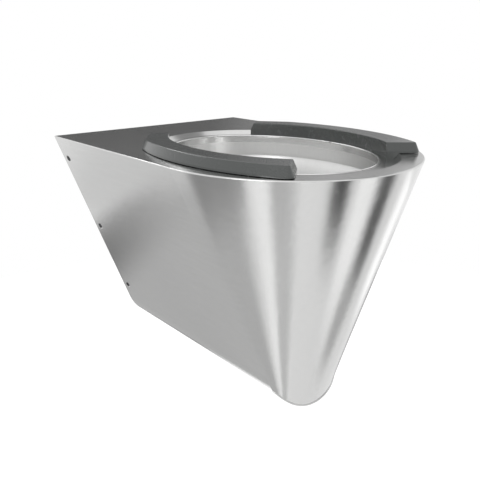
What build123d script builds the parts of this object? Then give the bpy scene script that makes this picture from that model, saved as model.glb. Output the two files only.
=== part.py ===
from build123d import *
import os
from math import asin, atan2, cos, degrees, pi, radians, sin, sqrt, tan

# A wall-hung stainless steel toilet pan with a tapering body and two fixed seat pads.
# Millimetres. Everything is drawn from the middle of the deck's top edge at the wall:
# X across, +Y into the wall, -Y towards the user, Z up. Heights below the deck are negative.
# At the end all pieces are lifted, so that the origin is the middle of the wall bolts.

# Overall body
body_width = 360.0            # deck, side to side
body_length = 502.0           # wall to the front of the deck
body_depth = 350.0            # deck to the underside of the belly
nose_round_length = 188.0     # half axis of the deck's elliptical front
side_apex_depth = 485.0       # where the two side planes would meet
nose_foot_length = 20.8       # half axis of the front at the belly's depth
nose_foot_setback = 61.5      # how far the front's centre line comes forward on its way down
shell_wall = 2.0
nose_lip = 2.5                # the front sheet stands this much past the belly
front_run_out = 12.0          # how far the front is drawn past the belly before it is cut

# Deck with its pressed recess and mouth
deck_wall = 2.0
deck_edge_round = 1.2
recess_side_margin = 30.0     # deck's side edge to the recess
recess_front_margin = 25.0
recess_back_margin = 112.0    # wall to the recess
recess_depth = 6.0
recess_slope = 6.0            # plan width of the slope into the recess
mouth_side_margin = 24.0      # recess to the mouth, at its sides, front and back
mouth_front_margin = 26.5
mouth_back_margin = 18.5
mouth_lip = 8.0               # turned-down lip below the recess floor

# Bowl
bowl_wall = 1.5
bowl_channel = 17.0           # mouth's edge to the bowl's upright wall
bowl_straight = 32.0          # upright wall that closes the flush channel
bowl_mid_height = 131.5       # above the trap's mouth
bowl_mid_in_across = 23.5     # drawn in from the upright wall
bowl_mid_in_along = 29.0
bowl_mid_way = 0.1875         # share of the way back to the neck's centre
bowl_low_height = 65.5
bowl_low_in_across = 63.0
bowl_low_in_along = 79.0
bowl_low_way = 0.5625
bowl_neck_height = 24.5
bowl_neck_out_across = 12.0   # out from the trap's pipe
bowl_neck_out_along = 18.0
bowl_neck_ahead = 4.0         # neck's centre in front of the trap's mouth
bowl_seam_height = 103.5      # where the foot is welded on

# Flush channel and its feed
rim_wall = 1.5
rim_setback = 5.5             # skirt behind the mouth's edge
rim_depth = 35.0              # deck to the skirt's lower edge
rim_gap = 0.3                 # flange to the bowl's wall
jet_count = 28
jet_radius = 2.4
inlet_depth = 50.0            # deck to the middle of the flush inlet
inlet_outer_radius = 29.0
inlet_wall = 1.5
inlet_setback = 6.0           # pipe's end to the wall
chamber_width = 120.0
chamber_top = 12.0
chamber_bottom = 84.0
chamber_setback = 84.0        # chamber's back to the wall
chamber_wall = 1.5
chamber_reach = 30.0          # how far its room reaches past the bowl's back
feed_slot_width = 60.0
feed_slot_top = 15.0
feed_slot_height = 14.0
jet_slot_width = 30.0
jet_slot_top = 50.0
jet_slot_height = 9.0
seal_bore_radius = 22.2
seal_depth = 22.0
seal_flange = 3.0
seal_flange_overhang = 2.0    # flange past the inlet pipe

# Trap and outlet
trap_belly_gap = 11.0         # trap's lowest bend to the inside of the belly
outlet_outer_radius = 51.0
outlet_wall = 1.5
outlet_setback = 8.0
outlet_reach = 52.0           # outlet pipe, its end to the rear plate
reducer_length = 20.0
trap_outer_radius = 35.0
trap_wall = 1.5
trap_bend_radius = 58.5
trap_top_run = 13.0           # level pipe between the reducer and the upper bend

# Rear plate, wall bracket and its fixings
rear_plate_wall = 2.0
rear_plate_rise = 58.0        # underside of the belly up to the plate's foot
pipe_gap = 0.15               # pipe to the hole it passes through
bracket_wall = 3.0
bracket_gap = 0.3             # flange to the side sheet
bracket_top = 9.0
bracket_rise = 54.0           # underside of the belly up to the bracket's foot
bracket_reach = 32.0
stud_depth = 85.0             # deck to the wall bolts
stud_spacing = 180.0
stud_hole_radius = 6.5
anchor_rise = 24.0            # bracket's foot up to the anchors
anchor_spacing = 64.0
anchor_hole_radius = 4.5
inlet_window_gap = 7.0        # pipe to the bracket's window
outlet_window_gap = 17.0
side_screw_radius = 3.0
side_screw_setback = 16.0     # screw's axis to the wall
side_screw_first = 37.0       # down the slope, from the deck's edge
side_screw_rise = 26.728      # bracket's foot up the slope to the last screw
side_screw_count = 3
side_screw_length = 15.0
side_screw_head_radius = 5.4
side_screw_head_depth = 2.4
side_screw_socket_radius = 2.0
side_screw_socket_depth = 1.6
side_hole_gap = 0.3
weld_nut_flats = 10.0
weld_nut_height = 5.0

# Seat pads
pad_out_across = 10.0         # outer outline past the recess
pad_out_along = 41.5
pad_ahead = 5.5               # its centre in front of the recess's centre
pad_inner_out_along = 8.0     # inner outline past the mouth
pad_inner_ahead = 6.5
pad_height = 14.0             # above the deck
pad_side_lean = 5.0           # how far the outer side leans in
pad_side_drop = 11.0          # and how far down from the top
pad_edge_round = 1.6
pad_shadow_gap = 0.8          # pad over the deck's margin
pad_recess_gap = 0.3          # pad to the recess slope
pad_cut_angle = 49.5          # end cuts, away from the middle line
pad_front_cut_in = 44.0       # inner front corner, in from the mouth's side
pad_front_cut_behind = 26.5   # and behind the mouth's front
pad_back_cut_in = 50.0        # inner back corner
pad_back_cut_ahead = 35.5     # and in front of the mouth's back
pad_back_corner_in = 23.0     # outer back corner
pad_back_corner_ahead = 14.5
pad_shoulder_out = 15.0       # where the back shoulder meets the outer oval
pad_shoulder_ahead = 61.5
pad_corner_round = 8.0
pad_shoulder_round = 40.0
core_wall = 2.0
core_height = 2.4             # underside above the deck
core_width = 12.0
core_margin = 2.6             # core's edge inside the pad's outline
core_end_gap = 16.0
stud_inset = 5.2              # stud's axis inside the pad's outline
pad_stud_radius = 2.5
pad_stud_length = 16.0        # below the deck's top face
pad_stud_gap = 0.25
pad_stud_back_gaps = (50.0, 100.0)    # studs in front of the inner back corner
pad_stud_front_gaps = (86.0, 20.0)    # studs behind the inner front corner
pad_washer_radius = 3.8
pad_washer_height = 1.0
pad_nut_flats = 8.0
pad_nut_height = 4.0

# Bonding tag on the rear plate
tag_width = 14.0
tag_height = 26.0
tag_foot = 10.0
tag_wall = 2.0
tag_hole_radius = 3.2
tag_place = (-96.0, -44.0)    # across, and down from the deck

# Worked out from the sizes above
half_width = body_width / 2
side_angle = atan2(half_width, side_apex_depth)
belly_radius = (side_apex_depth - body_depth) / (1 / sin(side_angle) - 1)
belly_centre = belly_radius - body_depth
belly_edge = (belly_radius * cos(side_angle), belly_centre - belly_radius * sin(side_angle))
front_start = body_length - nose_round_length
wall_across = shell_wall / cos(side_angle)
recess_half_width = half_width - recess_side_margin
recess_half_length = (body_length - recess_front_margin - recess_back_margin) / 2
recess_centre = recess_back_margin + recess_half_length
mouth_half_width = recess_half_width - mouth_side_margin
mouth_half_length = recess_half_length - (mouth_front_margin + mouth_back_margin) / 2
mouth_centre = recess_centre + (mouth_back_margin - mouth_front_margin) / 2
recess_angle = atan2(recess_depth, recess_slope)
press_offset = deck_wall * tan(recess_angle / 2)
floor_under = recess_depth + deck_wall
rear_plate_y = outlet_setback + outlet_reach
reducer_y = rear_plate_y + rear_plate_wall
upper_bend_y = reducer_y + reducer_length + trap_top_run
riser_y = upper_bend_y + trap_bend_radius
throat_y = riser_y + 2 * trap_bend_radius
trap_level = body_depth - shell_wall - trap_belly_gap - trap_outer_radius - trap_bend_radius
outlet_depth = trap_level - trap_bend_radius
bowl_half_width = mouth_half_width + bowl_channel
bowl_half_length = mouth_half_length + bowl_channel
bowl_neck_depth = trap_level - bowl_neck_height
bowl_neck_half_width = trap_outer_radius + bowl_neck_out_across
bowl_neck_half_length = trap_outer_radius + bowl_neck_out_along
bowl_neck_shift = mouth_centre - throat_y - bowl_neck_ahead
bowl_low_depth = trap_level - bowl_low_height
bowl_low_half_width = bowl_half_width - bowl_low_in_across
bowl_low_half_length = bowl_half_length - bowl_low_in_along
bowl_low_shift = bowl_low_way * bowl_neck_shift
bowl_mid_depth = trap_level - bowl_mid_height
bowl_mid_half_width = bowl_half_width - bowl_mid_in_across
bowl_mid_half_length = bowl_half_length - bowl_mid_in_along
bowl_mid_shift = bowl_mid_way * bowl_neck_shift
bowl_seam_depth = trap_level - bowl_seam_height
seal_flange_radius = inlet_outer_radius + seal_flange_overhang
rear_plate_bottom = body_depth - rear_plate_rise
bracket_bottom = body_depth - bracket_rise
anchor_depth = bracket_bottom - anchor_rise
inlet_window_radius = inlet_outer_radius + inlet_window_gap
outlet_window_radius = outlet_outer_radius + outlet_window_gap
side_screw_last = bracket_bottom / cos(side_angle) - side_screw_rise
side_screw_pitch = (side_screw_last - side_screw_first) / (side_screw_count - 1)
pad_centre = recess_centre + pad_ahead
pad_half_width = recess_half_width + pad_out_across
pad_half_length = recess_half_length + pad_out_along
pad_inner_centre = mouth_centre + pad_inner_ahead
pad_inner_half_width = mouth_half_width
pad_inner_half_length = mouth_half_length + pad_inner_out_along
mouth_front = mouth_centre + mouth_half_length
mouth_back = mouth_centre - mouth_half_length
pad_front_cut = (mouth_half_width - pad_front_cut_in, mouth_front - pad_front_cut_behind)
pad_back_cut = (mouth_half_width - pad_back_cut_in, mouth_back + pad_back_cut_ahead)
pad_back_corner = (mouth_half_width - pad_back_corner_in, mouth_back + pad_back_corner_ahead)
pad_back_shoulder = (mouth_half_width + pad_shoulder_out, mouth_back + pad_shoulder_ahead)
pad_stud_places = [pad_back_cut[1] + gap for gap in pad_stud_back_gaps]
pad_stud_places += [pad_front_cut[1] - gap for gap in pad_stud_front_gaps]
rim_half_width = mouth_half_width + rim_setback
rim_half_length = mouth_half_length + rim_setback
cut_side = (sin(radians(pad_cut_angle)), cos(radians(pad_cut_angle)))
far = 700.0


def side_x(depth):
    """Half width of the body's outer face at a depth below the deck."""
    return half_width * (1 - depth / side_apex_depth)


def oval(half_x, half_y, centre, z=0.0):
    """An elliptical face lying level at a height, its centre measured from the wall."""
    return Pos(0, -centre, z) * Ellipse(half_x, half_y)


def oval_column(half_x, half_y, centre, low, high):
    return extrude(oval(half_x, half_y, centre, low), high - low, dir=(0, 0, 1))


def tube(radius, wall, start, end, z):
    """A level pipe that runs from one distance from the wall to another."""
    length = end - start
    place = Pos(0, -(start + end) / 2, z) * Rot(90, 0, 0)
    return place * (Cylinder(radius, length) - Cylinder(radius - wall, length))


def disc(radius, start, end, x, z):
    """A level round solid along Y, to cut holes or carry threads."""
    return Pos(x, -(start + end) / 2, z) * Rot(90, 0, 0) * Cylinder(radius, end - start)


# The body

def deck_outline(depth):
    """Outer outline of the body at a depth: straight sides and an elliptical front."""
    w, c, d = side_x(depth), front_centre(depth), front_half_length(depth)
    sides = Polyline((w, -c), (w, 0), (-w, 0), (-w, -c))
    front = EllipticalCenterArc((0, -c), w, d, 180, arc_size=180)
    return Pos(0, 0, -depth) * make_face(sides + front)


def front_centre(depth):
    return front_start + nose_foot_setback * depth / body_depth


def front_half_length(depth):
    return nose_round_length - (nose_round_length - nose_foot_length) * depth / body_depth


def front_face(depth, inset):
    """The front's half oval at a depth, drawn in from the outer face."""
    w, c, d = side_x(depth) - inset, front_centre(depth), front_half_length(depth) - inset
    chord = Line((-w, -c), (w, -c))
    arc = EllipticalCenterArc((0, -c), w, d, 180, arc_size=180)
    return Pos(0, 0, -depth) * make_face(chord + arc)


def front_solid(inset, top):
    bottom = body_depth + front_run_out
    return loft([front_face(top, inset), front_face(bottom, inset)], ruled=True)


def section_solid(inset, length):
    """The body's V section with its round belly, drawn in from the outer face."""
    r = belly_radius - inset
    e = (r * cos(side_angle), belly_centre - r * sin(side_angle))
    top = half_width - inset / cos(side_angle)
    line = Polyline((-e[0], e[1]), (-top, 0), (top, 0), (e[0], e[1]))
    arc = ThreePointArc((-e[0], e[1]), (0, belly_centre - r), (e[0], e[1]))
    face = Plane.XZ * make_face(line + arc)
    return extrude(face, length, dir=(0, -1, 0))


def behind_front():
    """Everything on the wall's side of the sloping line where the front sheet begins."""
    drop = body_depth + front_run_out
    low = front_centre(drop)
    side = make_face(Polyline((0, 0), (-front_start, 0), (-low, -drop), (0, -drop), close=True))
    return extrude(Plane.YZ * side, far, both=True)


def side_sheet():
    """Both sides and the belly, folded from one sheet; the belly runs on into the nose."""
    strip = section_solid(0, body_length) - section_solid(shell_wall, body_length)
    cover = Pos(0, -body_length / 2, 0) * Box(2 * body_width, 2 * body_length, 2 * deck_wall)
    strip -= cover
    rear = strip & behind_front()
    belly = strip - (Pos(0, 0, belly_edge[1] + far / 2) * Box(far, 4 * far, far))
    tongue = (belly - behind_front()) & front_solid(wall_across, deck_wall)
    sheet = rear + tongue
    for place in side_screw_places():
        cone = place * Pos(0, 0, -side_screw_head_depth / 2) * Cone(
            side_screw_radius + side_hole_gap,
            side_screw_head_radius + side_hole_gap,
            side_screw_head_depth,
        )
        hole = place * Cylinder(side_screw_radius + side_hole_gap, 4 * shell_wall)
        sheet -= cone + hole
    return sheet


def front_sheet():
    """The rolled front, cut round the belly so that it stands a little past it."""
    shell = front_solid(0, deck_wall) - front_solid(wall_across, deck_wall)
    z = belly_edge[1] + shell_wall
    scoop = Pos(0, -body_length / 2, z - far / 2) * Box(far, 2 * body_length, far)
    lip = disc(belly_radius + nose_lip, 0, body_length, 0, belly_centre)
    return shell - (scoop - lip)


def top_deck():
    """The flat deck, its opening cut along the slope into the recess."""
    plate = loft([deck_outline(0), deck_outline(deck_wall)], ruled=True)
    plate = fillet(plate.faces().sort_by(Axis.Z)[-1].outer_wire().edges(), deck_edge_round)
    deck = plate - recess_plug(0)
    for x, y in pad_stud_points():
        deck -= Pos(x, -y, 0) * Cylinder(pad_stud_radius + pad_stud_gap, 6 * deck_wall)
    return deck


def mouth_ring():
    """The pressed ring under the deck: recess, flat floor and the mouth's turned-down lip."""
    press = loft([
        oval(recess_half_width + press_offset, recess_half_length + press_offset,
             recess_centre, -deck_wall),
        oval(recess_half_width - recess_slope + press_offset,
             recess_half_length - recess_slope + press_offset, recess_centre, -floor_under),
    ], ruled=True)
    lip = oval_column(mouth_half_width + deck_wall, mouth_half_length + deck_wall,
                      mouth_centre, -floor_under - mouth_lip, -floor_under)
    ring = press + lip - recess_plug(0) - mouth_column()
    return fillet(mouth_edge(ring), deck_wall * 0.9)


def recess_plug(gap):
    """The space in the recess, less a gap at its slope."""
    slope = oval(recess_half_width - recess_slope - gap, recess_half_length - recess_slope - gap,
                 recess_centre, -recess_depth)
    top = oval(recess_half_width - gap, recess_half_length - gap, recess_centre, 0)
    return loft([slope, top], ruled=True)


def mouth_column():
    return oval_column(mouth_half_width, mouth_half_length, mouth_centre, -far, far)


def mouth_edge(deck):
    """The edge where the recess floor turns down into the mouth."""
    level = [e for e in deck.edges() if abs((e @ 0.3).Z + recess_depth) < 0.01
             and abs((e @ 0.7).Z + recess_depth) < 0.01]
    return min(level, key=lambda e: e.length)


# The bowl and its flush channel

def bowl_solid(inset):
    """The drawn bowl, an oval that narrows and moves back to the round throat."""
    throat = trap_outer_radius - trap_wall + bowl_wall - inset
    straight = floor_under + bowl_straight
    upright = oval_column(bowl_half_width - inset, bowl_half_length - inset, mouth_centre,
                          -straight, -floor_under)
    rows = [
        (bowl_half_width, bowl_half_length, 0.0, straight),
        (bowl_mid_half_width, bowl_mid_half_length, bowl_mid_shift, bowl_mid_depth),
        (bowl_low_half_width, bowl_low_half_length, bowl_low_shift, bowl_low_depth),
        (bowl_neck_half_width, bowl_neck_half_length, bowl_neck_shift, bowl_neck_depth),
    ]
    sections = [
        oval(a - inset, b - inset, mouth_centre - shift, -depth) for a, b, shift, depth in rows
    ]
    sections.append(oval(throat, throat, throat_y, -trap_level))
    return upright + loft(sections)


def bowl_sump():
    """The bowl's foot, welded on where the wall steepens."""
    return (bowl_solid(0) - bowl_solid(bowl_wall)) - above_seam()


def above_seam():
    return Pos(0, -mouth_centre, far / 2 - bowl_seam_depth) * Box(far, far, far)


def bowl():
    """The upper bowl, with slots for the flush water at the back."""
    shape = (bowl_solid(0) - bowl_solid(bowl_wall)) & above_seam()
    back = mouth_centre - bowl_half_length
    for width, top, height in (
        (feed_slot_width, feed_slot_top, feed_slot_height),
        (jet_slot_width, jet_slot_top, jet_slot_height),
    ):
        slot = Plane.XZ * SlotOverall(width, height)
        cutter = extrude(slot, 30.0, both=True)
        shape -= Pos(0, -back, -top - height / 2) * cutter
    return shape


def flush_rim():
    """The skirt that hides the flush channel, and the pierced floor of the channel."""
    outer_x, outer_y = rim_half_width + rim_wall, rim_half_length + rim_wall
    skirt = oval_column(outer_x, outer_y, mouth_centre, -rim_depth, -floor_under)
    skirt -= oval_column(rim_half_width, rim_half_length, mouth_centre, -far, far)
    floor_x = bowl_half_width - bowl_wall - rim_gap
    floor_y = bowl_half_length - bowl_wall - rim_gap
    floor = oval_column(floor_x, floor_y, mouth_centre, -rim_depth, -rim_depth + rim_wall)
    floor -= oval_column(rim_half_width, rim_half_length, mouth_centre, -far, far)
    mid_x, mid_y = (outer_x + floor_x) / 2, (outer_y + floor_y) / 2
    rim = skirt + floor
    for i in range(jet_count):
        turn = 2 * pi * (i + 0.5) / jet_count
        x, y = mid_x * cos(turn), mouth_centre + mid_y * sin(turn)
        rim -= Pos(x, -y, -rim_depth) * Cylinder(jet_radius, 4 * rim_wall)
    return rim


def flush_chamber():
    """The box behind the bowl that spreads the flush water into the channel."""
    front = mouth_centre - bowl_half_length + chamber_reach
    height = chamber_bottom - chamber_top
    y = -(chamber_setback + front) / 2
    z = -(chamber_top + chamber_bottom) / 2
    length = front - chamber_setback
    box = Pos(0, y, z) * Box(chamber_width, length, height)
    room = Pos(0, y - chamber_wall, z) * Box(
        chamber_width - 2 * chamber_wall, length, height - 2 * chamber_wall)
    mouth = disc(inlet_outer_radius + pipe_gap, chamber_setback - 1, chamber_setback + 4,
                 0, -inlet_depth)
    return box - room - mouth - bowl_solid(0)


def flush_inlet_pipe():
    end = chamber_setback + chamber_wall
    return tube(inlet_outer_radius, inlet_wall, inlet_setback, end, -inlet_depth)


def flush_inlet_seal():
    """A rubber sleeve in the pipe's end, with a flange over the end."""
    body = inlet_outer_radius - inlet_wall
    flange_start = inlet_setback - seal_flange
    seal = tube(body, body - seal_bore_radius, inlet_setback, inlet_setback + seal_depth,
                -inlet_depth)
    flange = tube(seal_flange_radius, seal_flange_radius - seal_bore_radius,
                  flange_start, inlet_setback, -inlet_depth)
    return seal + flange


# The trap and the outlet

def bend(path):
    """A bent pipe along a path in the middle plane."""
    start = path @ 0
    plane = Plane(origin=start, z_dir=path % 0)
    outer = sweep(plane * Circle(trap_outer_radius), path=path)
    inner = sweep(plane * Circle(trap_outer_radius - trap_wall), path=path)
    return outer - inner


def trap_lower_bend():
    """The water seal: down from the bowl, round, and up again."""
    centre = (0, -(throat_y + riser_y) / 2, -trap_level)
    arc = ThreePointArc(
        (0, -throat_y, -trap_level),
        (0, centre[1], -trap_level - trap_bend_radius),
        (0, -riser_y, -trap_level),
    )
    return bend(arc)


def trap_upper_bend():
    """The weir: up from the seal and over, level to the reducer."""
    k = trap_bend_radius * (1 - sin(pi / 4))
    arc = ThreePointArc(
        (0, -riser_y, -trap_level),
        (0, -riser_y + k, -outlet_depth - k),
        (0, -upper_bend_y, -outlet_depth),
    )
    run = tube(trap_outer_radius, trap_wall, upper_bend_y - trap_top_run, upper_bend_y,
               -outlet_depth)
    return bend(arc) + run


def outlet_reducer():
    """The flared piece between the trap's pipe and the outlet pipe."""
    low, high = trap_outer_radius, outlet_outer_radius
    place = Pos(0, -reducer_y - reducer_length / 2, -outlet_depth) * Rot(-90, 0, 0)
    outer = Cone(low, high, reducer_length)
    inner = Cone(low - trap_wall, high - outlet_wall, reducer_length)
    return place * (outer - inner)


def outlet_pipe():
    return tube(outlet_outer_radius, outlet_wall, outlet_setback, rear_plate_y, -outlet_depth)


# Rear plate, bracket and fixings

def rear_plate():
    """A plate across the body that holds the pipes and props the deck."""
    inside = section_solid(shell_wall, far)
    height = rear_plate_bottom - deck_wall
    slab = Pos(0, -rear_plate_y - rear_plate_wall / 2, -deck_wall - height / 2) * Box(
        far, rear_plate_wall, height)
    plate = slab & inside
    start, end = rear_plate_y - 1, reducer_y + 1
    plate -= disc(outlet_outer_radius - outlet_wall, start, end, 0, -outlet_depth)
    plate -= disc(inlet_outer_radius + pipe_gap, start, end, 0, -inlet_depth)
    return plate


def bracket_outline(inset, top, bottom):
    """A tapering face inside the side sheets, between two depths."""
    run = (shell_wall + inset) / cos(side_angle)
    a, b = side_x(top) - run, side_x(bottom) - run
    points = ((-a, -top), (a, -top), (b, -bottom), (-b, -bottom))
    return Plane.XZ * make_face(Polyline(*points, close=True))


def wall_bracket():
    """A folded plate on the wall, with a flange behind each side sheet."""
    outer = extrude(bracket_outline(bracket_gap, bracket_top, bracket_bottom),
                    bracket_reach, dir=(0, -1, 0))
    room = extrude(bracket_outline(bracket_gap + bracket_wall, bracket_top - 1,
                                   bracket_bottom + 1), bracket_reach, dir=(0, -1, 0))
    bracket = outer - Pos(0, -bracket_wall, 0) * room
    bracket -= disc(inlet_window_radius, -1, bracket_wall + 1, 0, -inlet_depth)
    bracket -= disc(outlet_window_radius, -1, bracket_wall + 1, 0, -outlet_depth)
    for side in (-1, 1):
        bracket -= disc(stud_hole_radius, -1, bracket_wall + 1,
                        side * stud_spacing / 2, -stud_depth)
        bracket -= disc(anchor_hole_radius, -1, bracket_wall + 1,
                        side * anchor_spacing / 2, -anchor_depth)
    for place in side_screw_places():
        drill = Cylinder(side_screw_radius + side_hole_gap, 4 * bracket_wall)
        bracket -= place * Pos(0, 0, -shell_wall - bracket_gap - bracket_wall / 2) * drill
    return bracket


def side_screw_places():
    """Frames on the side sheets' outer faces, their Z pointing out of the body."""
    places = []
    for side in (-1, 1):
        for i in range(side_screw_count):
            run = side_screw_first + i * side_screw_pitch
            x = side * (half_width - run * sin(side_angle))
            z = -run * cos(side_angle)
            out = (side * cos(side_angle), 0, -sin(side_angle))
            places.append(Plane(origin=(x, -side_screw_setback, z), x_dir=(0, 1, 0),
                                z_dir=out).location)
    return places


def side_screws():
    """Countersunk screws with a pin socket, which lock the pan to the bracket."""
    screws = []
    for place in side_screw_places():
        head = Pos(0, 0, -side_screw_head_depth / 2) * Cone(
            side_screw_radius, side_screw_head_radius, side_screw_head_depth)
        shank_length = side_screw_length - side_screw_head_depth
        shank = Pos(0, 0, -side_screw_head_depth - shank_length / 2) * Cylinder(
            side_screw_radius, shank_length)
        socket = Pos(0, 0, -side_screw_socket_depth / 2) * extrude(
            RegularPolygon(side_screw_socket_radius, 6), side_screw_socket_depth / 2, both=True)
        screws.append(place * (head + shank - socket))
    return Compound(screws)


def weld_nuts():
    """Nuts welded inside the bracket's flanges, on the side screws' axes."""
    nuts = []
    start = shell_wall + bracket_gap + bracket_wall
    for place in side_screw_places():
        block = extrude(RegularPolygon(weld_nut_flats / 2, 6, major_radius=False),
                        weld_nut_height)
        nut = block - Cylinder(side_screw_radius, 4 * weld_nut_height)
        nuts.append(place * Pos(0, 0, -start - weld_nut_height) * nut)
    return Compound(nuts)


def bonding_tag():
    """A folded lug for the bonding wire, welded to the rear plate."""
    x, z = tag_place
    y = -rear_plate_y
    foot = Pos(x, y + tag_wall / 2, z) * Box(tag_width, tag_wall, tag_height)
    ear = Pos(x, y + tag_wall + tag_foot / 2, z - tag_height / 2 + tag_wall / 2) * Box(
        tag_width, tag_foot, tag_wall)
    hole = Pos(x, y + tag_wall + tag_foot / 2, z - tag_height / 2) * Cylinder(
        tag_hole_radius, 4 * tag_wall)
    return foot + ear - hole


# Seat pads

def pad_keep(side, retreat):
    """Plan region between a pad's end cuts and its back shoulder, which can be drawn in."""
    sx, sy = cut_side
    fx, fy = pad_front_cut[0] + retreat * sy, pad_front_cut[1] - retreat * sx
    bx, by = pad_back_cut[0] + retreat * sy, pad_back_cut[1] + retreat * sx
    cx, cy = pad_back_corner
    ex, ey = pad_back_shoulder
    points = [
        (fx - pad_height * sx, -(fy - pad_height * sy)),
        (fx + body_length * sx, -(fy + body_length * sy)),
        (cx + 3 * (ex - cx), -(cy + 3 * (ey - cy)) - retreat),
        (cx, -cy - retreat),
        (bx - pad_height * sx, -(by + pad_height * sy)),
    ]
    return make_face(Polyline(*[(side * x, y) for x, y in points], close=True))


def pad_column(side):
    """A pad's outline as a column, its three outer corners rounded."""
    outer = oval_column(pad_half_width, pad_half_length, pad_centre, -recess_depth, pad_height)
    keep = extrude(pad_keep(side, 0), far, both=True)
    column = (outer - pad_inner_column()) & keep
    corners = (
        (pad_back_shoulder[1], pad_shoulder_round),
        (pad_back_corner[1], pad_corner_round),
        (pad_centre + pad_half_length, pad_corner_round),
    )
    for place, radius in corners:
        column = fillet(outer_corner(column, place), radius)
    return column


def pad_inner_column():
    return oval_column(pad_inner_half_width, pad_inner_half_length, pad_inner_centre,
                       -far, far)


def outer_corner(column, place):
    """The upright edge on the column's outer side nearest a distance from the wall."""
    edges = [e for e in column.edges() if abs((e % 0.5).Z) > 0.9 and outside_inner(e, 0.5)]
    return min(edges, key=lambda e: abs((e @ 0.5).Y + place))


def outside_inner(edge, at):
    """True where an edge lies clear of the pad's inner oval."""
    p = edge @ at
    x = p.X / pad_inner_half_width
    y = (p.Y + pad_inner_centre) / pad_inner_half_length
    return x * x + y * y > 1.02


def outer_edges(top):
    """The top face's edges, less the inner one and the two end cuts that meet it."""
    return [e for e in top.edges() if all(outside_inner(e, at) for at in (0, 0.5, 1))]


def seat_pad(side):
    """A moulded pad: flat top, leaning outer side, and a foot that fills the recess."""
    column = pad_column(side)
    plug = recess_plug(pad_recess_gap) + oval_column(
        recess_half_width - pad_recess_gap, recess_half_length - pad_recess_gap,
        recess_centre, 0, pad_shadow_gap)
    upper = column - Pos(0, -pad_centre, pad_shadow_gap - far / 2) * Box(far, 2 * far, far)
    top = upper.faces().sort_by(Axis.Z)[-1]
    upper = upper.solid().chamfer(pad_side_lean, pad_side_drop, outer_edges(top), face=top)
    crown = upper.faces().sort_by(Axis.Z)[-1]
    upper = fillet(crown.edges(), pad_edge_round)
    return upper + (column & plug) - pad_core(side)


def pad_core(side):
    """A steel strip moulded into the pad, with studs that pass through the deck."""
    outer = core_margin
    inner = core_margin + core_width
    ring = oval(pad_half_width - outer, pad_half_length - outer, pad_centre) - oval(
        pad_half_width - inner, pad_half_length - inner, pad_centre)
    plan = ring & pad_keep(side, core_end_gap)
    strip = Pos(0, 0, core_height) * extrude(plan, core_wall)
    length = core_height + pad_stud_length
    for x, y in pad_stud_points():
        if x * side > 0:
            strip += Pos(x, -y, core_height - length / 2) * Cylinder(pad_stud_radius, length)
    return strip


def pad_stud_points():
    """Stud axes, across and from the wall, on an oval inside the pads' outline."""
    a, b = pad_half_width - stud_inset, pad_half_length - stud_inset
    points = []
    for y in pad_stud_places:
        x = a * sqrt(1 - ((y - pad_centre) / b) ** 2)
        points += [(-x, y), (x, y)]
    return points


def pad_washers():
    ring = Cylinder(pad_washer_radius, pad_washer_height) - Cylinder(
        pad_stud_radius + pad_stud_gap, pad_washer_height)
    z = -deck_wall - pad_washer_height / 2
    return Compound([Pos(x, -y, z) * ring for x, y in pad_stud_points()])


def pad_nuts():
    block = extrude(RegularPolygon(pad_nut_flats / 2, 6, major_radius=False), pad_nut_height)
    nut = block - Cylinder(pad_stud_radius, 4 * pad_nut_height)
    z = -deck_wall - pad_washer_height - pad_nut_height
    return Compound([Pos(x, -y, z) * nut for x, y in pad_stud_points()])


PIECES = {
    "side_sheet": side_sheet,
    "front_sheet": front_sheet,
    "top_deck": top_deck,
    "mouth_ring": mouth_ring,
    "bowl": bowl,
    "bowl_sump": bowl_sump,
    "flush_rim": flush_rim,
    "flush_chamber": flush_chamber,
    "flush_inlet_pipe": flush_inlet_pipe,
    "flush_inlet_seal": flush_inlet_seal,
    "trap_lower_bend": trap_lower_bend,
    "trap_upper_bend": trap_upper_bend,
    "outlet_reducer": outlet_reducer,
    "outlet_pipe": outlet_pipe,
    "rear_plate": rear_plate,
    "wall_bracket": wall_bracket,
    "side_screws": side_screws,
    "weld_nuts": weld_nuts,
    "bonding_tag": bonding_tag,
    "seat_pad_left": lambda: seat_pad(-1),
    "seat_pad_right": lambda: seat_pad(1),
    "pad_core_left": lambda: pad_core(-1),
    "pad_core_right": lambda: pad_core(1),
    "pad_washers": pad_washers,
    "pad_nuts": pad_nuts,
}


def main():
    os.makedirs("parts", exist_ok=True)
    for name, make in PIECES.items():
        export_step(Pos(0, 0, stud_depth) * make(), f"parts/{name}.step")


main()
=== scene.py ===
"""Looks of a wall-hung stainless steel toilet, laid out as a Blender add-on and run as a script."""

import math

import bmesh
import bpy
from bpy.props import FloatProperty, FloatVectorProperty, PointerProperty
from mathutils import Matrix, Vector


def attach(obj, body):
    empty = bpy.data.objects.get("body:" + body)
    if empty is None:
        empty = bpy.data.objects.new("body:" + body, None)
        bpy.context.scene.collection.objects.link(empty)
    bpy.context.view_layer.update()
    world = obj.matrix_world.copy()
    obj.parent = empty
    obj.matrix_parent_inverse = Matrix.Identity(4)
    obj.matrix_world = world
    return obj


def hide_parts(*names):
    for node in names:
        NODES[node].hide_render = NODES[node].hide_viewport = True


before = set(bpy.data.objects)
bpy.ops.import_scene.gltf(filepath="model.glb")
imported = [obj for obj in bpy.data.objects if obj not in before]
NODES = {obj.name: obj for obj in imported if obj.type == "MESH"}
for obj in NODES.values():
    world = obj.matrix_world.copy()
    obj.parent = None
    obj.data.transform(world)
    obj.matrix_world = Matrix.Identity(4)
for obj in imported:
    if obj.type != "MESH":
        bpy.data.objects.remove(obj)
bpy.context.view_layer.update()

bl_info = {
    "name": "Steel toilet",
    "version": (1, 0, 0),
    "blender": (4, 5, 0),
    "location": "3D View > Sidebar > Toilet",
    "description": "Sheet, pads, fastenings and studio of a wall-hung stainless steel toilet",
    "category": "Object",
}


# Shader trees

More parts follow.
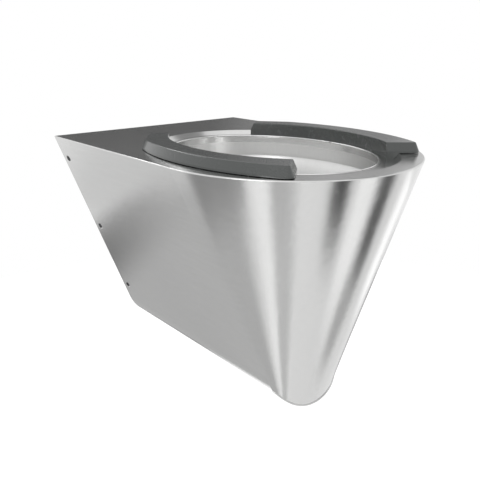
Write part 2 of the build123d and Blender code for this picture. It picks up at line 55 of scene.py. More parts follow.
class Wire:
    """A socket of a shader tree that stands in an arithmetic expression."""

    def __init__(self, recipe, socket):
        self.recipe = recipe
        self.socket = socket

    def _math(self, operation, first, second):
        return self.recipe.node(
            "ShaderNodeMath", {"operation": operation}, {0: first, 1: second}
        )

    def __add__(self, other):
        return self._math("ADD", self, other)

    __radd__ = __add__

    def __sub__(self, other):
        return self._math("SUBTRACT", self, other)

    def __rsub__(self, other):
        return self._math("SUBTRACT", other, self)

    def __mul__(self, other):
        return self._math("MULTIPLY", self, other)

    def at_most(self, other):
        return self._math("MINIMUM", self, other)


class Recipe:
    """The node tree of a material or a world. Every node comes from its one method, node()."""

    def __init__(self, owner):
        self.owner = owner
        owner.use_nodes = True
        self.tree = owner.node_tree
        self.tree.nodes.clear()

    def node(self, kind, settings=None, inputs=None, output=0):
        """Adds a node and gives the wire from one of its outputs."""
        made = self.tree.nodes.new(kind)
        for name, value in (settings or {}).items():
            setattr(made, name, value)
        for name, value in (inputs or {}).items():
            socket = made.inputs[name]
            if isinstance(value, Wire):
                self.tree.links.new(value.socket, socket)
            else:
                socket.default_value = value
        return Wire(self, made.outputs[output]) if made.outputs else None

    def colours(self, share, low, high):
        """Two colours mixed by a share."""
        return self.node(
            "ShaderNodeMix", {"data_type": "RGBA"}, {0: share, 6: low, 7: high}, 2
        )

    def ramp(self, value, start, end):
        """A value's way from start to end as 0 to 1, held at the ends."""
        return self.node(
            "ShaderNodeMapRange",
            {"interpolation_type": "SMOOTHSTEP"},
            {"Value": value, "From Min": start, "From Max": end},
        )

    def place(self):
        return self.node("ShaderNodeTexCoord", output="Object")

    def noise(self, vector, scale, detail=2.0, roughness=0.5):
        return self.node(
            "ShaderNodeTexNoise",
            None,
            {"Vector": vector, "Scale": scale, "Detail": detail, "Roughness": roughness},
        )

    def stretched(self, vector, scale):
        return self.node("ShaderNodeMapping", None, {"Vector": vector, "Scale": scale})

    def relief(self, height, strength):
        """A fine bump, no deeper than a tenth of a millimetre."""
        return self.node(
            "ShaderNodeBump", None, {"Height": height, "Strength": strength, "Distance": 0.0001}
        )


def new_finish(name):
    return Recipe(bpy.data.materials.new(name))


def end_finish(recipe, **inputs):
    """Closes a material with the main shader. A keyword's underscores are its socket's spaces."""
    shader = recipe.node(
        "ShaderNodeBsdfPrincipled",
        None,
        {name.replace("_", " "): value for name, value in inputs.items()},
    )
    recipe.node("ShaderNodeOutputMaterial", None, {"Surface": shader})
    return recipe.owner


def satin_steel(name, settings, grain_along, fineness=1.0, extra_roughness=0.0, painted_lightness=1.0):
    """Ground stainless sheet: fine strokes along one way, faint clouding and handling marks. A
    lightness other than 1 lightens or darkens its colour as painted light or shade.
    """
    recipe = new_finish(name)
    place = recipe.place()
    strokes = recipe.noise(
        recipe.stretched(place, grain_along), 1400.0 * fineness, 4.0, 0.62
    )
    long_strokes = recipe.noise(
        recipe.stretched(place, tuple(0.6 * value for value in grain_along)), 420.0, 2.0
    )
    clouds = recipe.noise(place, 9.0, 3.0)
    marks = recipe.noise(place, 46.0, 3.0, 0.7)
    smear = recipe.ramp(marks, 0.58, 0.74)
    roughness = (
        settings.roughness
        + extra_roughness
        + (strokes - 0.5) * 0.08
        + (clouds - 0.5) * 0.04
        + smear * 0.03
    )
    tone = strokes * 0.5 + long_strokes * 0.3 + clouds * 0.2
    # a lightness other than 1 scales the steel colour: painted light or painted shade
    colour = recipe.colours(
        recipe.ramp(tone, 0.32, 0.68),
        (*[value * painted_lightness * 0.975 for value in settings.steel_colour[:3]], 1.0),
        (*[min(1.0, value * painted_lightness * 1.03) for value in settings.steel_colour[:3]], 1.0),
    )
    bump = recipe.relief(strokes, settings.grain_relief)
    return end_finish(
        recipe, Base_Color=colour, Metallic=1.0, Roughness=roughness, Normal=bump
    )


def moulded_plastic(name, settings):
    """Anthracite moulded plastic with an eroded tool grain under a smooth sheen."""
    recipe = new_finish(name)
    place = recipe.place()
    grain = recipe.noise(place, 1900.0, 2.0, 0.6)
    flow = recipe.noise(place, 11.0, 3.0)
    scuff = recipe.ramp(recipe.noise(place, 70.0, 4.0, 0.7), 0.56, 0.72)
    colour = recipe.colours(
        flow * 0.6 + grain * 0.4,
        (*[value * 0.86 for value in settings.plastic_colour[:3]], 1.0),
        (*[value * 1.16 for value in settings.plastic_colour[:3]], 1.0),
    )
    roughness = settings.plastic_roughness + (grain - 0.5) * 0.12 + scuff * 0.05
    bump = recipe.relief(grain, 0.25)
    return end_finish(
        recipe,
        Base_Color=colour,
        Metallic=0.0,
        Roughness=roughness,
        Normal=bump,
        Coat_Weight=0.6,
        Coat_Roughness=0.1,
    )


def seal_rubber(name):
    """Black lip-seal rubber with a dull bloom."""
    recipe = new_finish(name)
    place = recipe.place()
    bloom = recipe.noise(place, 60.0, 4.0, 0.6)
    pores = recipe.noise(place, 2400.0, 1.0)
    colour = recipe.colours(bloom, (0.012, 0.012, 0.013, 1.0), (0.032, 0.031, 0.030, 1.0))
    bump = recipe.relief(pores, 0.2)
    return end_finish(
        recipe, Base_Color=colour, Roughness=bloom * 0.2 + 0.55, Normal=bump
    )


def near_black_steel(name):
    """Near-black finish of the small screws, worn lighter in spots."""
    recipe = new_finish(name)
    place = recipe.place()
    wear = recipe.ramp(recipe.noise(place, 700.0, 4.0, 0.7), 0.52, 0.72)
    colour = recipe.colours(wear, (0.020, 0.020, 0.022, 1.0), (0.080, 0.078, 0.075, 1.0))
    return end_finish(recipe, Base_Color=colour, Metallic=0.6, Roughness=wear * 0.15 + 0.38)


class TreeMaker:
    """A geometry tree with named inputs."""

    def __init__(self, name):
        self.tree = bpy.data.node_groups.new(name, "GeometryNodeTree")
        face = self.tree.interface
        face.new_socket("Geometry", in_out="INPUT", socket_type="NodeSocketGeometry")
        face.new_socket("Geometry", in_out="OUTPUT", socket_type="NodeSocketGeometry")
        self.entry = self.tree.nodes.new("NodeGroupInput")

    def size(self, name, default):
        socket = self.tree.interface.new_socket(
            name, in_out="INPUT", socket_type="NodeSocketFloat"
        )
        socket.default_value, socket.subtype = default, "DISTANCE"
        return self.entry.outputs[name]

    def node(self, kind, settings=None, inputs=None):
        made = self.tree.nodes.new(kind)
        for name, value in (settings or {}).items():
            setattr(made, name, value)
        for name, value in (inputs or {}).items():
            if isinstance(value, bpy.types.NodeSocket):
                self.tree.links.new(value, made.inputs[name])
            else:
                made.inputs[name].default_value = value
        return made.outputs

    def share(self, first, second):
        return self.node("ShaderNodeMath", {"operation": "DIVIDE"}, {0: first, 1: second})[0]

    def step(self, mesh, chosen, rise, widening):
        """Extrudes the chosen faces by a rise and widens what they became."""
        out = self.node(
            "GeometryNodeExtrudeMesh",
            {"mode": "FACES"},
            {"Mesh": mesh, "Selection": chosen, "Offset Scale": rise, "Individual": False},
        )
        grown = self.node(
            "GeometryNodeScaleElements",
            {"domain": "FACE"},
            {"Geometry": out["Mesh"], "Selection": out["Top"], "Scale": widening},
        )
        return grown["Geometry"], out["Top"]


def screw_tree(finish):
    """A socket-head screw on every point, its head outwards along the point's facing."""
    maker = TreeMaker("screws")
    head, height = maker.size("Head Radius", 0.005), maker.size("Head Height", 0.001)
    socket, depth = maker.size("Socket Radius", 0.0025), maker.size("Socket Depth", 0.002)
    shank, length = maker.size("Shank Radius", 0.003), maker.size("Shank Length", 0.012)
    disc = maker.node(
        "GeometryNodeMeshCircle", {"fill_type": "NGON"}, {"Vertices": 36, "Radius": head}
    )["Mesh"]
    every = maker.node("FunctionNodeInputBool", {"boolean": True})[0]
    raised, top = maker.step(disc, every, height, 0.90)
    flat, top = maker.step(raised, top, 0.0, maker.share(socket, head))
    cut = maker.node("ShaderNodeMath", {"operation": "MULTIPLY"}, {0: depth, 1: -1.0})[0]
    sunk, top = maker.step(flat, top, cut, 0.8)
    shaft = maker.node(
        "GeometryNodeMeshCylinder",
        {"fill_type": "NGON"},
        {"Vertices": 24, "Radius": shank, "Depth": length},
    )["Mesh"]
    drop = maker.node("ShaderNodeMath", {"operation": "MULTIPLY"}, {0: length, 1: -0.5})[0]
    under = maker.node("ShaderNodeCombineXYZ", None, {"Z": drop})[0]
    lowered = maker.node(
        "GeometryNodeTransform", None, {"Geometry": shaft, "Translation": under}
    )[0]
    join = maker.tree.nodes.new("GeometryNodeJoinGeometry")
    for part in (sunk, lowered):
        maker.tree.links.new(part, join.inputs[0])
    facing = maker.node(
        "GeometryNodeInputNamedAttribute", {"data_type": "FLOAT_VECTOR"}, {"Name": "facing"}
    )["Attribute"]
    turn = maker.node(
        "FunctionNodeAlignRotationToVector", {"axis": "Z"}, {"Vector": facing}
    )["Rotation"]
    placed = maker.node(
        "GeometryNodeInstanceOnPoints",
        None,
        {"Points": maker.entry.outputs[0], "Instance": join.outputs[0], "Rotation": turn},
    )["Instances"]
    real = maker.node("GeometryNodeRealizeInstances", None, {"Geometry": placed})[0]
    painted = maker.node(
        "GeometryNodeSetMaterial", None, {"Geometry": real, "Material": finish}
    )[0]
    leave = maker.tree.nodes.new("NodeGroupOutput")
    maker.tree.links.new(painted, leave.inputs[0])
    return maker.tree


# Settings

class TOILET_PG_finish(bpy.types.PropertyGroup):
    """Colours and surface of the metal, the plastic and the rubber."""

    steel_colour: FloatVectorProperty(
        name="Steel",
        description="Reflected colour of the ground stainless sheet",
        subtype="COLOR",
        size=4,
        min=0.0,
        max=1.0,
        default=(0.64, 0.64, 0.635, 1.0),
    )
    roughness: FloatProperty(
        name="Steel roughness",
        description="How much the ground surface scatters what it reflects",
        default=0.16,
        min=0.02,
        max=1.0,
        subtype="FACTOR",
    )
    grain_relief: FloatProperty(
        name="Grain relief",
        description="Strength of the grinding strokes in the surface",
        default=0.12,
        min=0.0,
        max=1.0,
        subtype="FACTOR",
    )
    plastic_colour: FloatVectorProperty(
        name="Pads",
        description="Colour of the moulded seat pads",
        subtype="COLOR",
        size=4,
        min=0.0,
        max=1.0,
        default=(0.052, 0.057, 0.055, 1.0),
    )
    plastic_roughness: FloatProperty(
        name="Pad roughness",
        description="Roughness of the pads' grained surface",
        default=0.27,
        min=0.05,
        max=1.0,
        subtype="FACTOR",
    )


def small_length(name, description, default):
    """A size in metres that is shown to a hundredth of a millimetre."""
    return FloatProperty(
        name=name, description=description, default=default, min=0.0, precision=5, unit="LENGTH"
    )


class TOILET_PG_details(bpy.types.PropertyGroup):
    """Sizes of the screws, the seam and the rolled edge that the dressing adds."""

    screw_head_radius: small_length(
        "Screw head radius", "Radius of a locking screw's head", 0.0043
    )
    screw_head_height: small_length(
        "Screw head height", "How far the head stands out of its hole", 0.0007
    )
    screw_socket_radius: small_length("Socket radius", "Radius of the socket in the head", 0.0022)
    screw_socket_depth: small_length("Socket depth", "Depth of the socket in the head", 0.0018)
    screw_shank_radius: small_length("Shank radius", "Radius of the screw below its head", 0.003)
    screw_shank_length: small_length("Shank length", "Length of the screw below its head", 0.013)
    seam_radius: small_length("Seam radius", "Radius of the ground weld round the nose", 0.0012)
    seam_inset: small_length(
        "Seam inset", "How far the weld lies above the foot of the rolled front", 0.0006
    )
    mouth_edge_radius: small_length(
        "Mouth edge radius", "Radius of the rolled edge round the bowl's mouth", 0.001
    )


class TOILET_PG_studio(bpy.types.PropertyGroup):
    """Camera, lamps, floor and reflector boards."""

    floor_height: FloatProperty(
        name="Floor",
        description="Height of the studio floor, from the wall bolts",
        default=-0.62,
        unit="LENGTH",
    )
    floor_reach: FloatProperty(
        name="Floor reach",
        description="Distance from the toilet to the floor's edge",
        default=1.5,
        min=0.5,
        unit="LENGTH",
    )
    lens: FloatProperty(
        name="Lens",
        description="Focal length of the camera",
        default=43.48,
        min=10.0,
        unit="CAMERA",
    )
    key_power: FloatProperty(
        name="Key lamp",
        description="Power that the lamps share out",
        default=8.0,
        min=0.0,
        unit="POWER",
    )
    sky_strength: FloatProperty(
        name="Sky",
        description="Strength of the white surroundings on the matt surfaces",
        default=0.72,
        min=0.0,
    )


# Making things

def dress(node_names, finish):
    """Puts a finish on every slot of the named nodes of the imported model."""
    for name in node_names:
        node = NODES[name]
        if not node.material_slots:
            node.data.materials.append(finish)
        for slot in node.material_slots:
            slot.material = finish


def board(name, rows, strength, soft_sides, soft_ends):
    """A reflector or a flag that only the steel sees. Its rows of points run from one end to
    the other, and its edges fade out over a share of its width and of its length."""
    across, along = len(rows[0]), len(rows)
    faces = [
        (row * across + i, row * across + i + 1, (row + 1) * across + i + 1, (row + 1) * across + i)
        for row in range(along - 1)
        for i in range(across - 1)
    ]
    mesh = bpy.data.meshes.new(name)
    mesh.from_pydata([Vector(point) for row in rows for point in row], [], faces)
    chart = mesh.uv_layers.new(name="chart")
    for loop in mesh.loops:
        row, i = divmod(loop.vertex_index, across)
        chart.data[loop.index].uv = (i / (across - 1), row / (along - 1))
    panel = bpy.data.objects.new(name, mesh)
    bpy.context.scene.collection.objects.link(panel)
    recipe = new_finish(name + "_light")
    chart_place = recipe.node("ShaderNodeTexCoord", output="UV")
    across_way = recipe.node("ShaderNodeSeparateXYZ", None, {0: chart_place}, 0)
    along_way = recipe.node("ShaderNodeSeparateXYZ", None, {0: chart_place}, 1)
    cover = (
        recipe.ramp(across_way, 0.0, soft_sides[0])
        * recipe.ramp(1.0 - across_way, 0.0, soft_sides[1])
        * recipe.ramp(along_way, 0.0, soft_ends[0])
        * recipe.ramp(1.0 - along_way, 0.0, soft_ends[1])
    )
    glow = recipe.node(
        "ShaderNodeEmission", None, {"Color": (1.0, 1.0, 1.0, 1.0), "Strength": strength}
    )
    clear = recipe.node("ShaderNodeBsdfTransparent")
    sheet = recipe.node("ShaderNodeMixShader", None, {0: cover, 1: clear, 2: glow})
    recipe.node("ShaderNodeOutputMaterial", None, {"Surface": sheet})
    mesh.materials.append(recipe.owner)
    for flag in ("camera", "diffuse", "shadow", "transmission", "volume_scatter"):
        setattr(panel, "visible_" + flag, False)
    return panel


BOARD_CENTRE = Vector((0.0, -0.33, 0.0))
BOARD_STEPS = 12
BOARD_ROWS = 4


def round_board(name, start, end, first, last, strength, sides, ends):
    """A board round the toilet, from one azimuth to another. Azimuth 0 is in front and 90 at
    the right, in degrees. The first and last rows are given by distance and height."""
    rows = []
    for row in range(BOARD_ROWS + 1):
        share = row / BOARD_ROWS
        distance, height = (a + (b - a) * share for a, b in zip(first, last))
        turns = [start + (end - start) * step / BOARD_STEPS for step in range(BOARD_STEPS + 1)]
        rows.append([
            BOARD_CENTRE
            + Vector((
                distance * math.sin(math.radians(turn)),
                -distance * math.cos(math.radians(turn)),
                height,
            ))
            for turn in turns
        ])
    return board(name, rows, strength, sides, ends)


def straight_board(name, start, end, reach, strength, sides, ends, height):
    """A board on the floor, from one place to another and out to its reach at their left."""
    start, end = Vector((*start, height)), Vector((*end, height))
    out = (end - start).cross(Vector((0.0, 0.0, -reach))).normalized() * reach
    return board(name, [[start, end], [start + out, end + out]], strength, sides, ends)


def new_piece(name, mesh, finish, replaced=()):
    """Links a finished mesh as a piece of the toilet."""
    if finish.name not in mesh.materials:
        mesh.materials.append(finish)
    piece = bpy.data.objects.new(name, mesh)
    bpy.context.scene.collection.objects.link(piece)
    for face in mesh.polygons:
        face.use_smooth = True
    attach(piece, "root")
    if replaced:
        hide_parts(*replaced)
    return piece


def swept_tube(name, points, radius, sides=10):
    """A round bead along a line of points, closed at both ends."""
    shape = bmesh.new()
    rings = []
    normal = Vector((0.0, 0.0, 1.0))
    for index, point in enumerate(points):
        before, after = points[max(index - 1, 0)], points[min(index + 1, len(points) - 1)]
        way = (after - before).normalized()
        normal = (normal - way * normal.dot(way)).normalized()
        across = way.cross(normal)
        turns = [math.tau * k / sides for k in range(sides)]
        rings.append([
            shape.verts.new(point + radius * (math.cos(turn) * normal + math.sin(turn) * across))
            for turn in turns
        ])
    for first, second in zip(rings, rings[1:]):
        for k in range(sides):
            after = (k + 1) % sides
            shape.faces.new((first[k], first[after], second[after], second[k]))
    shape.faces.new(rings[0])
    shape.faces.new(tuple(reversed(rings[-1])))
    bmesh.ops.recalc_face_normals(shape, faces=shape.faces)
    mesh = bpy.data.meshes.new(name)
    shape.to_mesh(mesh)
    shape.free()
    return mesh


# The body's shape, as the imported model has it: lengths below the deck and from the wall

DECK = 0.085
HALF_WIDTH = 0.180
BODY_DEPTH = 0.350
SIDE_APEX = 0.485  # where the two side planes would meet
SIDE_ANGLE = math.atan2(HALF_WIDTH, SIDE_APEX)
BELLY_RADIUS = (SIDE_APEX - BODY_DEPTH) / (1.0 / math.sin(SIDE_ANGLE) - 1.0)
BELLY_DEPTH = BODY_DEPTH - BELLY_RADIUS
LIP = 0.0025
FRONT_CENTRE, FRONT_LENGTH = 0.314, 0.188  # the front's half oval at the deck
FOOT_SETBACK, FOOT_LENGTH = 0.0615, 0.0208  # and at the belly's depth
SEAM_END = 88.0  # degrees to either side of straight ahead
SEAM_STEPS, EDGE_STEPS = 120, 180
SCREWS_DOWN = (0.037, 0.163, 0.289)  # down the side, from the deck's edge
SCREW_SETBACK = 0.016
MOUTH_CENTRE = 0.2905
MOUTH_HALF_WIDTH = 0.126
MOUTH_HALF_LENGTH = 0.160
MOUTH_LEVEL = DECK - 0.006


def front_point(angle, depth):
    """A point of the rolled front: its turn from straight ahead and its depth below the deck."""
    share = depth / BODY_DEPTH
    half = HALF_WIDTH * (1.0 - depth / SIDE_APEX)
    centre = FRONT_CENTRE + FOOT_SETBACK * share
    length = FRONT_LENGTH + (FOOT_LENGTH - FRONT_LENGTH) * share
    return Vector(
        (half * math.sin(angle), -centre - length * math.cos(angle), DECK - depth)
    )


def front_foot(angle):
    """Depth at which the rolled front ends, just past the belly."""
    low, high = BELLY_DEPTH, BODY_DEPTH + 2.0 * LIP
    for _ in range(40):
        middle = (low + high) / 2.0
        point = front_point(angle, middle)
        inside = math.hypot(point.x, DECK - BELLY_DEPTH - point.z) < BELLY_RADIUS + LIP
        low, high = (middle, high) if inside else (low, middle)
    return low


# Pieces

class ToiletStep(bpy.types.Operator):
    """One step of the dressing."""

    bl_options = {"REGISTER", "UNDO"}

    def execute(self, context):
        self.make(
            context.scene.toilet_finish,
            context.scene.toilet_details,
            context.scene.toilet_studio,
        )
        return {"FINISHED"}


class TOILET_OT_body(ToiletStep):
    """Ground finish of the folded side sheet, the rolled front and the deck"""

    bl_idname = "toilet.body"
    bl_label = "Body sheets"

    def make(self, finish, details, studio):
        along = (1.0, 0.05, 1.0)
        dress(["side_sheet", "front_sheet"], satin_steel("body_steel", finish, along))
        dress(["top_deck", "mouth_ring"], satin_steel("deck_steel", finish, along, 1.0, 0.03))
        self.mouth_edge(finish, details)
        self.nose_seam(finish, details)

    def mouth_edge(self, finish, details):
        """The rolled edge where the deck turns down into the bowl, its steel lightened as a painted
        highlight.
        """
        inset = details.mouth_edge_radius
        half_width, half_length = MOUTH_HALF_WIDTH - inset, MOUTH_HALF_LENGTH - inset
        turns = [math.tau * step / EDGE_STEPS for step in range(EDGE_STEPS + 1)]
        points = [
            Vector((
                half_width * math.cos(turn),
                -MOUTH_CENTRE + half_length * math.sin(turn),
                MOUTH_LEVEL,
            ))
            for turn in turns
        ]
        new_piece(
            "mouth_edge",
            swept_tube("mouth_edge", points, inset),
            # steel colour lightened by 1.3 as a painted highlight along the rolled edge
            satin_steel("edge_steel", finish, (1.0, 1.0, 1.0), 1.6, 0.1, 1.3),
        )

    def nose_seam(self, finish, details):
        """The ground weld round the foot of the rolled front, its steel darkened as painted shade
        of the crease.
        """
        turns = [
            math.radians(SEAM_END * (2.0 * step / SEAM_STEPS - 1.0))
            for step in range(SEAM_STEPS + 1)
        ]
        points = [front_point(turn, front_foot(turn) - details.seam_inset) for turn in turns]
        new_piece(
            "nose_seam",
            swept_tube("nose_seam", points, details.seam_radius),
            # steel colour darkened to 0.9 as painted shade in the crease along the seam
            satin_steel("seam_steel", finish, (1.0, 1.0, 1.0), 1.6, 0.06, 0.9),
        )


class TOILET_OT_bowl(ToiletStep):
    """Finish of the drawn bowl and its flushing rim, the steel lightened by a quarter as painted
    light
    """

    bl_idname = "toilet.bowl"
    bl_label = "Bowl and rim"

    def make(self, finish, details, studio):
        dress(
            ["bowl", "bowl_sump", "flush_rim"],
            # steel colour lightened by 1.25 as painted light inside the bowl
            satin_steel("bowl_steel", finish, (1.0, 1.0, 0.12), 0.8, 0.14, 1.25),
        )


class TOILET_OT_waterways(ToiletStep):
    """Finish of the flush chamber, the pipes, the trap and the rubber seal"""

    bl_idname = "toilet.waterways"
    bl_label = "Pipes and trap"

    def make(self, finish, details, studio):
        dress(
            [
                "flush_chamber",
                "flush_inlet_pipe",
                "trap_lower_bend",
                "trap_upper_bend",
                "outlet_reducer",
                "outlet_pipe",
            ],
            satin_steel("pipe_steel", finish, (0.3, 1.0, 0.3), 0.6, 0.06),
        )
        dress(["flush_inlet_seal"], seal_rubber("seal_rubber"))


class TOILET_OT_mounting(ToiletStep):
    """Finish of the rear plate, the wall bracket and the fastenings"""

    bl_idname = "toilet.mounting"
    bl_label = "Mounting"

    def make(self, finish, details, studio):
        dress(
            ["rear_plate", "wall_bracket"],
            satin_steel("bracket_steel", finish, (0.05, 1.0, 1.0), 0.7, 0.10),
        )
        dress(
            ["weld_nuts", "bonding_tag", "pad_washers", "pad_nuts"],
            satin_steel("fixing_steel", finish, (1.0, 1.0, 1.0), 1.3, 0.04),
        )


class TOILET_OT_screws(ToiletStep):
    """Dark socket-head locking screws in the side sheet, close to the wall"""

    bl_idname = "toilet.screws"
    bl_label = "Locking screws"

    def make(self, finish, details, studio):
        seats = bpy.data.meshes.new("screw_seats")
        places, ways = [], []
        for side in (-1, 1):
            for down in SCREWS_DOWN:
                places.append((
                    side * (HALF_WIDTH - down * math.sin(SIDE_ANGLE)),
                    -SCREW_SETBACK,
                    DECK - down * math.cos(SIDE_ANGLE),
                ))
                ways.append((side * math.cos(SIDE_ANGLE), 0.0, -math.sin(SIDE_ANGLE)))
        seats.from_pydata(places, [], [])
        facing = seats.attributes.new("facing", "FLOAT_VECTOR", "POINT")
        for index, way in enumerate(ways):
            facing.data[index].vector = way
        holder = bpy.data.objects.new("screw_seats", seats)
        bpy.context.scene.collection.objects.link(holder)
        modifier = holder.modifiers.new("screws", "NODES")
        finish = near_black_steel("screw_steel")
        modifier.node_group = screw_tree(finish)
        sizes = {
            "Head Radius": details.screw_head_radius,
            "Head Height": details.screw_head_height,
            "Socket Radius": details.screw_socket_radius,
            "Socket Depth": details.screw_socket_depth,
            "Shank Radius": details.screw_shank_radius,
            "Shank Length": details.screw_shank_length,
        }
        for item in modifier.node_group.interface.items_tree:
            if item.name in sizes:
                modifier[item.identifier] = sizes[item.name]
        view = bpy.context.evaluated_depsgraph_get()
        mesh = bpy.data.meshes.new_from_object(holder.evaluated_get(view))
        mesh.name = "locking_screws"
        bpy.data.objects.remove(holder)
        mesh.materials.clear()
        piece = new_piece("locking_screws", mesh, finish, ["side_screws"])
        for face in piece.data.polygons:
            face.use_smooth, face.material_index = False, 0


class TOILET_OT_pads(ToiletStep):
    """Moulded seat pads on the front of the deck"""

    bl_idname = "toilet.pads"
    bl_label = "Seat pads"

    def make(self, finish, details, studio):
        dress(
            ["seat_pad_left", "seat_pad_right", "pad_core_left", "pad_core_right"],
            moulded_plastic("pad_plastic", finish),
        )


CAMERA_PLACE, CAMERA_TARGET = (-0.5443, -0.8673, 0.2220), (0.0, -0.2298, -0.0648)
SENSOR_WIDTH = 36.0
FLOOR_SIDES = 96
FLOOR_CENTRE = -0.25
FLOOR_GLOW, FLOOR_CAMERA_GLOW = 0.26, 0.16
# Name, place, aim, way of its width, width and length, share of the power
LAMPS = (
    ("edge_lamp", (-0.52, 0.95, 1.02), (0.0, -0.3, 0.09), (0.9, 0.4, 0.0), (1.2, 0.12), 0.35),
    ("key_lamp", (-0.35, -0.75, 1.35), (0.0, -0.25, 0.0), (1.0, 0.0, 0.0), (1.4, 1.4), 0.08),
    ("fill_lamp", (-1.7, -0.9, 0.45), (0.0, -0.25, 0.0), (0.0, 1.0, 0.0), (0.9, 0.6), 0.8),
)
# Name, azimuths, near and far, strength, soft sides, soft ends, height
FLOOR_BOARDS = (
    ("grey_left", -170, -72, 0.12, 1.24, 0.60, (0.15, 0.26), (0.05, 0.16), -0.613),
    ("grey_behind", -190, -150, 0.12, 1.44, 0.56, (0.02, 0.3), (0.05, 0.14), -0.615),
    ("dark_behind", -188, -150, 0.86, 1.34, 0.08, (0.02, 0.9), (0.5, 0.35), -0.606),
    ("dark_left", -138, -76, 0.62, 1.40, 0.34, (0.2, 0.12), (0.4, 0.2), -0.604),
    ("strip_left", -78, -57, 0.20, 1.50, 1.22, (0.55, 0.3), (0.1, 0.1), -0.603),
    ("grey_front_left", -60, -31, 0.10, 1.40, 0.72, (0.2, 0.4), (0.1, 0.1), -0.608),
    ("grey_front_left_far", -62, -38, 0.50, 1.45, 0.60, (0.25, 0.5), (0.5, 0.1), -0.607),
    ("flag_front", -12, 14, 0.50, 1.50, 0.06, (0.4, 0.3), (0.35, 0.05), -0.600),
    ("strip_front", 15, 38, 0.30, 1.60, 1.26, (0.2, 0.25), (0.3, 0.1), -0.602),
    ("flag_right", 35, 62, 0.30, 1.50, 0.12, (0.35, 0.35), (0.5, 0.05), -0.598),
    ("flag_right_near", 30, 62, 0.30, 0.72, 0.55, (0.4, 0.4), (0.4, 0.3), -0.597),
    ("edge_right", 96, 175, 0.40, 1.30, 0.30, (0.2, 0.1), (0.2, 0.3), -0.597),
    ("strip_right", 70, 98, 0.55, 1.80, 1.45, (0.4, 0.4), (0.3, 0.1), -0.602),
    ("grey_right", 100, 140, 0.20, 1.80, 0.72, (0.3, 0.2), (0.1, 0.1), -0.604),
)
# Name, azimuths, low and high, distance, strength, soft sides, soft ends
WALL_BOARDS = (
    ("ceiling_grey", 20, 150, 0.70, 2.10, 1.0, 0.32, (0.15, 0.15), (0.15, 0.15)),
    ("wall_grey", 110, 152, -0.10, 0.80, 1.7, 0.36, (0.3, 0.4), (0.1, 0.3)),
    ("wall_dark", 127, 184, -0.10, 0.85, 1.6, 0.12, (0.35, 0.05), (0.1, 0.25)),
)


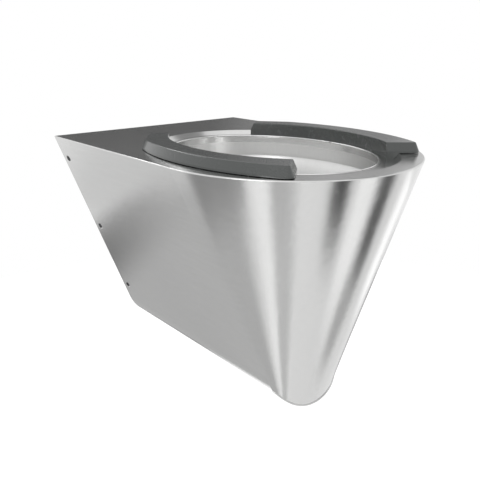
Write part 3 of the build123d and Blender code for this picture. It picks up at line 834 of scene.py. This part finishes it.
class TOILET_OT_studio(ToiletStep):
    """Camera, soft lamps, pale floor, white surroundings and reflector boards"""

    bl_idname = "toilet.studio"
    bl_label = "Studio"

    def make(self, finish, details, studio):
        scene = bpy.context.scene
        scene.view_settings.view_transform = "Standard"
        self.camera(scene, studio)
        self.world(scene, studio)
        self.floor(studio)
        self.lamps(studio)
        self.boards()

    def camera(self, scene, studio):
        data = bpy.data.cameras.new("photo_camera")
        data.lens, data.sensor_width = studio.lens, SENSOR_WIDTH
        camera = bpy.data.objects.new("photo_camera", data)
        scene.collection.objects.link(camera)
        place, target = Vector(CAMERA_PLACE), Vector(CAMERA_TARGET)
        turn = (target - place).to_track_quat("-Z", "Y")
        camera.matrix_world = Matrix.Translation(place) @ turn.to_matrix().to_4x4()
        data.clip_start = 0.01
        scene.camera = camera

    def world(self, scene, studio):
        world = bpy.data.worlds.new("white_room")
        scene.world = world
        recipe = Recipe(world)
        seen = self.seen_directly(recipe)
        strength = seen * (1.0 - studio.sky_strength) + studio.sky_strength
        back = recipe.node(
            "ShaderNodeBackground", None, {"Color": (1.0, 1.0, 1.0, 1.0), "Strength": strength}
        )
        recipe.node("ShaderNodeOutputWorld", None, {"Surface": back})

    def seen_directly(self, recipe):
        """1 for what the camera sees, directly or in a mirror or through glass."""
        path = recipe.node("ShaderNodeLightPath", output="Is Camera Ray")
        glossy = recipe.node("ShaderNodeLightPath", output="Is Glossy Ray")
        through = recipe.node("ShaderNodeLightPath", output="Is Transmission Ray")
        return (path + glossy + through).at_most(1.0)

    def floor(self, studio):
        reach, height = studio.floor_reach, studio.floor_height
        mesh = bpy.data.meshes.new("studio_floor")
        turns = [math.tau * step / FLOOR_SIDES for step in range(FLOOR_SIDES)]
        ring = [
            (reach * math.cos(turn), FLOOR_CENTRE + reach * math.sin(turn), height)
            for turn in turns
        ]
        mesh.from_pydata(ring, [], [tuple(range(FLOOR_SIDES))])
        floor = bpy.data.objects.new("studio_floor", mesh)
        bpy.context.scene.collection.objects.link(floor)
        recipe = new_finish("floor_paint")
        paint = recipe.node(
            "ShaderNodeBsdfDiffuse", None, {"Color": (0.90, 0.90, 0.90, 1.0)}
        )
        camera_ray = recipe.node("ShaderNodeLightPath", output="Is Camera Ray")
        glow = self.seen_directly(recipe) * FLOOR_GLOW + camera_ray * FLOOR_CAMERA_GLOW
        white = recipe.node(
            "ShaderNodeEmission", None, {"Color": (1.0, 1.0, 1.0, 1.0), "Strength": glow}
        )
        both = recipe.node("ShaderNodeAddShader", None, {0: paint, 1: white})
        recipe.node("ShaderNodeOutputMaterial", None, {"Surface": both})
        mesh.materials.append(recipe.owner)

    def lamps(self, studio):
        for name, place, aim, along, size, share in LAMPS:
            data = bpy.data.lights.new(name, "AREA")
            data.shape, data.size, data.size_y = "RECTANGLE", *size
            data.energy = studio.key_power * share
            lamp = bpy.data.objects.new(name, data)
            bpy.context.scene.collection.objects.link(lamp)
            back = (Vector(place) - Vector(aim)).normalized()
            across = back.cross(Vector(along)).normalized()
            turn = Matrix((across.cross(back), across, back)).transposed()
            lamp.matrix_world = Matrix.Translation(place) @ turn.to_4x4()

    def boards(self):
        straight_board(
            "pale_behind", (-1.00, -0.14), (-0.04, 1.38), 0.8, 0.80, (0.06, 0.2), (0.1, 0.1), -0.611
        )
        for name, start, end, near, far, strength, sides, ends, height in FLOOR_BOARDS:
            round_board(name, start, end, (near, height), (far, height), strength, sides, ends)
        for name, start, end, low, high, distance, strength, sides, ends in WALL_BOARDS:
            round_board(name, start, end, (distance, low), (distance, high), strength, sides, ends)


class TOILET_PT_panel(bpy.types.Panel):
    """The toilet's pieces, finishes and studio"""

    bl_label = "Steel toilet"
    bl_idname = "TOILET_PT_panel"
    bl_space_type = "VIEW_3D"
    bl_region_type = "UI"
    bl_category = "Toilet"

    def draw(self, context):
        layout = self.layout
        for group in (getattr(context.scene, name) for name in GROUPS):
            box = layout.box()
            for name in group.bl_rna.properties.keys():
                if name not in ("name", "rna_type"):
                    box.prop(group, name)
        for step in STEPS:
            layout.operator(step.bl_idname)


STEPS = (
    TOILET_OT_body,
    TOILET_OT_bowl,
    TOILET_OT_waterways,
    TOILET_OT_mounting,
    TOILET_OT_screws,
    TOILET_OT_pads,
    TOILET_OT_studio,
)
GROUPS = {
    "toilet_finish": TOILET_PG_finish,
    "toilet_details": TOILET_PG_details,
    "toilet_studio": TOILET_PG_studio,
}


def register():
    for group in GROUPS.values():
        bpy.utils.register_class(group)
    for name, group in GROUPS.items():
        setattr(bpy.types.Scene, name, PointerProperty(type=group))
    for step in STEPS:
        bpy.utils.register_class(step)
    bpy.utils.register_class(TOILET_PT_panel)


def unregister():
    bpy.utils.unregister_class(TOILET_PT_panel)
    for step in reversed(STEPS):
        bpy.utils.unregister_class(step)
    for name, group in GROUPS.items():
        delattr(bpy.types.Scene, name)
        bpy.utils.unregister_class(group)


def main():
    register()
    for step in STEPS:
        area, verb = step.bl_idname.split(".")
        getattr(getattr(bpy.ops, area), verb)()


if __name__ == "__main__":
    main()
